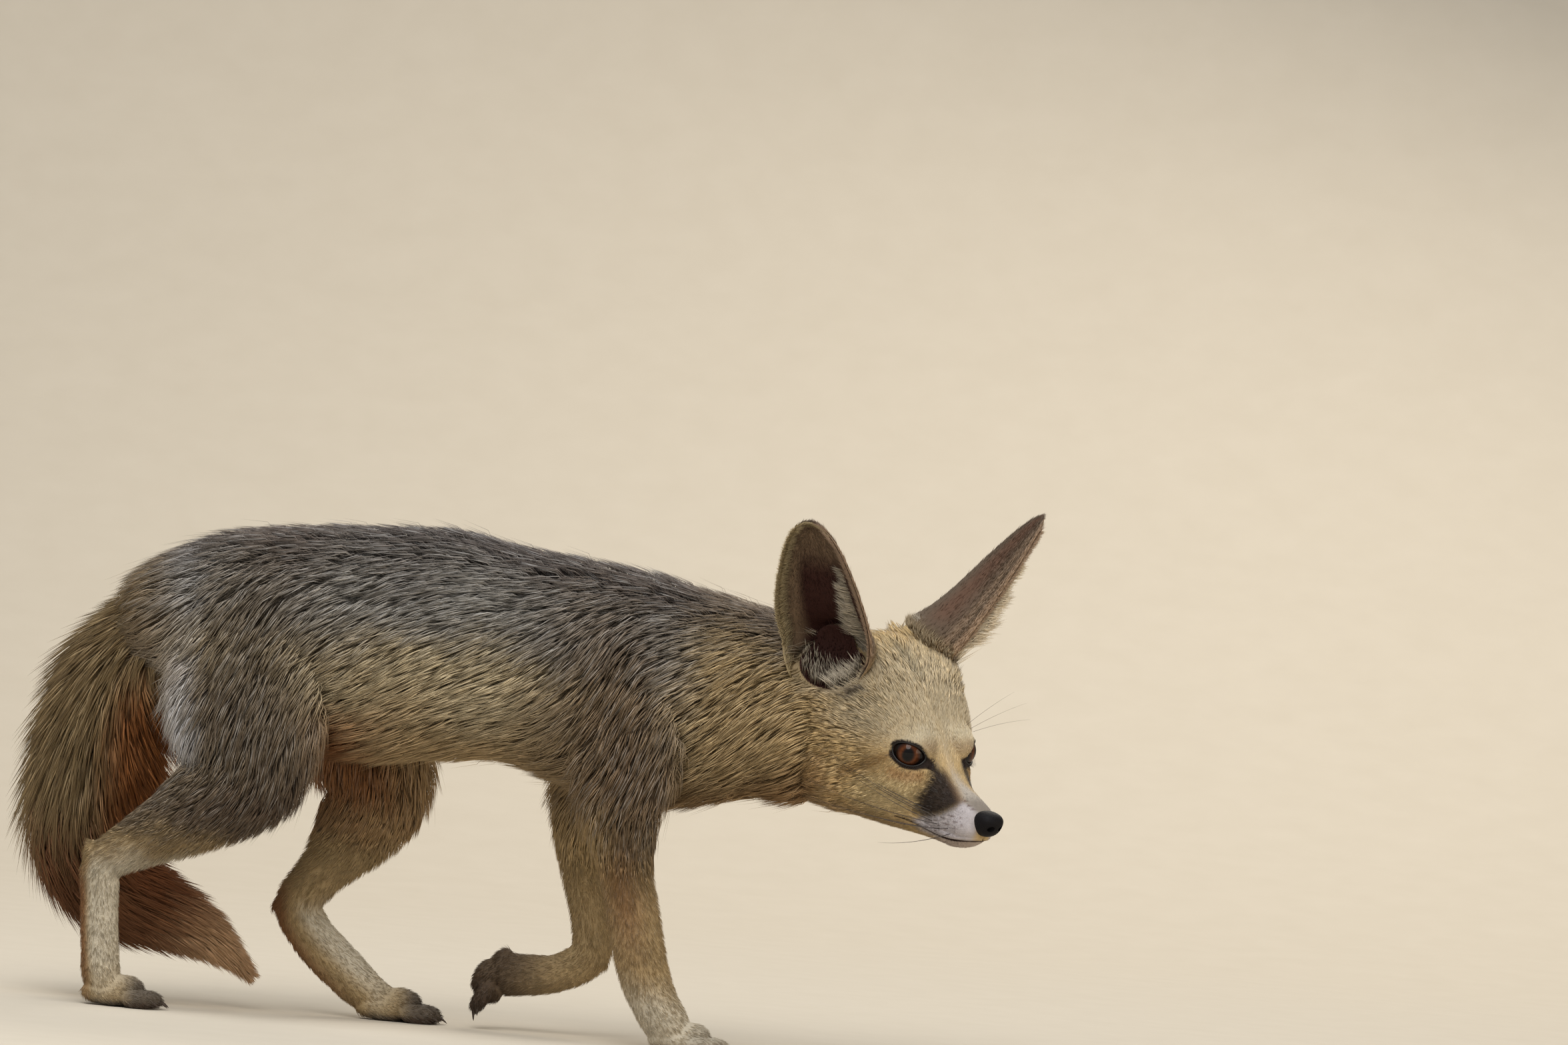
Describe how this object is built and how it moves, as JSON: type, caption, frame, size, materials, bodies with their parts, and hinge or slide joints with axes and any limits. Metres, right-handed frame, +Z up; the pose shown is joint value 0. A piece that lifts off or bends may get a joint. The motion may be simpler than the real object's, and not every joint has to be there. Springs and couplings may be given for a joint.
{
  "type": "sand fox",
  "caption": "Still life-size model of a sand fox walking low with its head turned, standing on three paws with one forepaw lifted.",
  "frame": {"origin": "on the floor, under the middle of the box round the whole fox", "axes": "+X the way the fox walks, +Y to its left, +Z up"},
  "size_m": [0.5064, 0.152, 0.2819],
  "materials": {
    "coat": "short dense fur, sandy buff with a silvery grey back",
    "tail": "long bushy fur, grey buff above, rusty brown below, pale at the tip",
    "nose": "black, moist and finely pebbled",
    "eyes": "glossy amber brown with a dark pupil",
    "claws": "dark horn",
    "whiskers": "dark, stiff and fine"
  },
  "bodies": {
    "root": {"head": "coat", "neck": "coat", "torso": "coat", "ear_right": "coat", "ear_left": "coat", "foreleg_right": "coat", "foreleg_left": "coat", "forepaw_right": "coat", "forepaw_left": "coat", "hindleg_right": "coat", "hindleg_left": "coat", "hindpaw_right": "coat", "hindpaw_left": "coat", "tail_root": "tail", "tail_middle": "tail", "tail_tip": "tail", "nose": "nose", "eye_right": "eyes", "eye_left": "eyes"}
  },
  "joints": []
}
